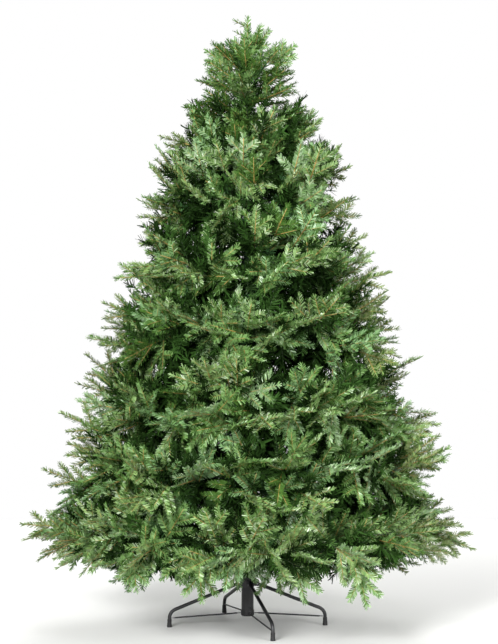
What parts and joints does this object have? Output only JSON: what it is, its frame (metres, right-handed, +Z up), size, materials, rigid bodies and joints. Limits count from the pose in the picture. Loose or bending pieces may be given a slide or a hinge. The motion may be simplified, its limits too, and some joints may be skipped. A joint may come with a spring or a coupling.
{
  "type": "artificial christmas tree",
  "caption": "Undecorated artificial Christmas tree, a full cone of moulded and cut green needle boughs on a steel pole, in a black folding steel stand with splayed tube legs and rubber feet.",
  "frame": {"origin": "on the floor, on the axis of the pole, at the middle of the stand", "axes": "+Z is up along the pole, -Y is the front that the picture shows, +X is the right of the picture"},
  "size_m": [1.5576, 1.5589, 2.1],
  "materials": {
    "needles": "moulded polyethylene tips and cut film needles, mixed greens, matt",
    "pole_steel": "dark green paint on steel tube",
    "stand_steel": "charcoal black powder coat on steel tube, satin",
    "foot_rubber": "black moulded rubber, matt"
  },
  "bodies": {
    "root": {"foliage_1_1": "needles", "foliage_1_2": "needles", "foliage_1_3": "needles", "foliage_1_4": "needles", "foliage_1_5": "needles", "foliage_1_6": "needles", "foliage_1_7": "needles", "foliage_1_8": "needles", "foliage_2_1": "needles", "foliage_2_2": "needles", "foliage_2_3": "needles", "foliage_2_4": "needles", "foliage_2_5": "needles", "foliage_2_6": "needles", "foliage_2_7": "needles", "foliage_3_1": "needles", "foliage_3_2": "needles", "foliage_3_3": "needles", "foliage_3_4": "needles", "foliage_3_5": "needles", "foliage_3_6": "needles", "foliage_3_7": "needles", "foliage_4_1": "needles", "foliage_4_2": "needles", "foliage_4_3": "needles", "foliage_4_4": "needles", "foliage_4_5": "needles", "foliage_4_6": "needles", "foliage_5_1": "needles", "foliage_5_2": "needles", "foliage_5_3": "needles", "foliage_5_4": "needles", "foliage_5_5": "needles", "foliage_6_1": "needles", "foliage_6_2": "needles", "foliage_6_3": "needles", "foliage_6_4": "needles", "foliage_6_5": "needles", "foliage_7_1": "needles", "foliage_7_2": "needles", "foliage_7_3": "needles", "foliage_7_4": "needles", "foliage_top": "needles", "pole": "pole_steel", "stand_socket": "stand_steel", "stand_cup": "stand_steel", "stand_bracket": "stand_steel", "stand_screw": "stand_steel", "stand_leg_right": "stand_steel", "stand_foot_right": "foot_rubber", "stand_brace_right": "stand_steel", "stand_leg_rear": "stand_steel", "stand_foot_rear": "foot_rubber", "stand_brace_rear": "stand_steel", "stand_leg_left": "stand_steel", "stand_foot_left": "foot_rubber", "stand_brace_left": "stand_steel", "stand_leg_front": "stand_steel", "stand_foot_front": "foot_rubber", "stand_brace_front": "stand_steel"}
  },
  "joints": []
}
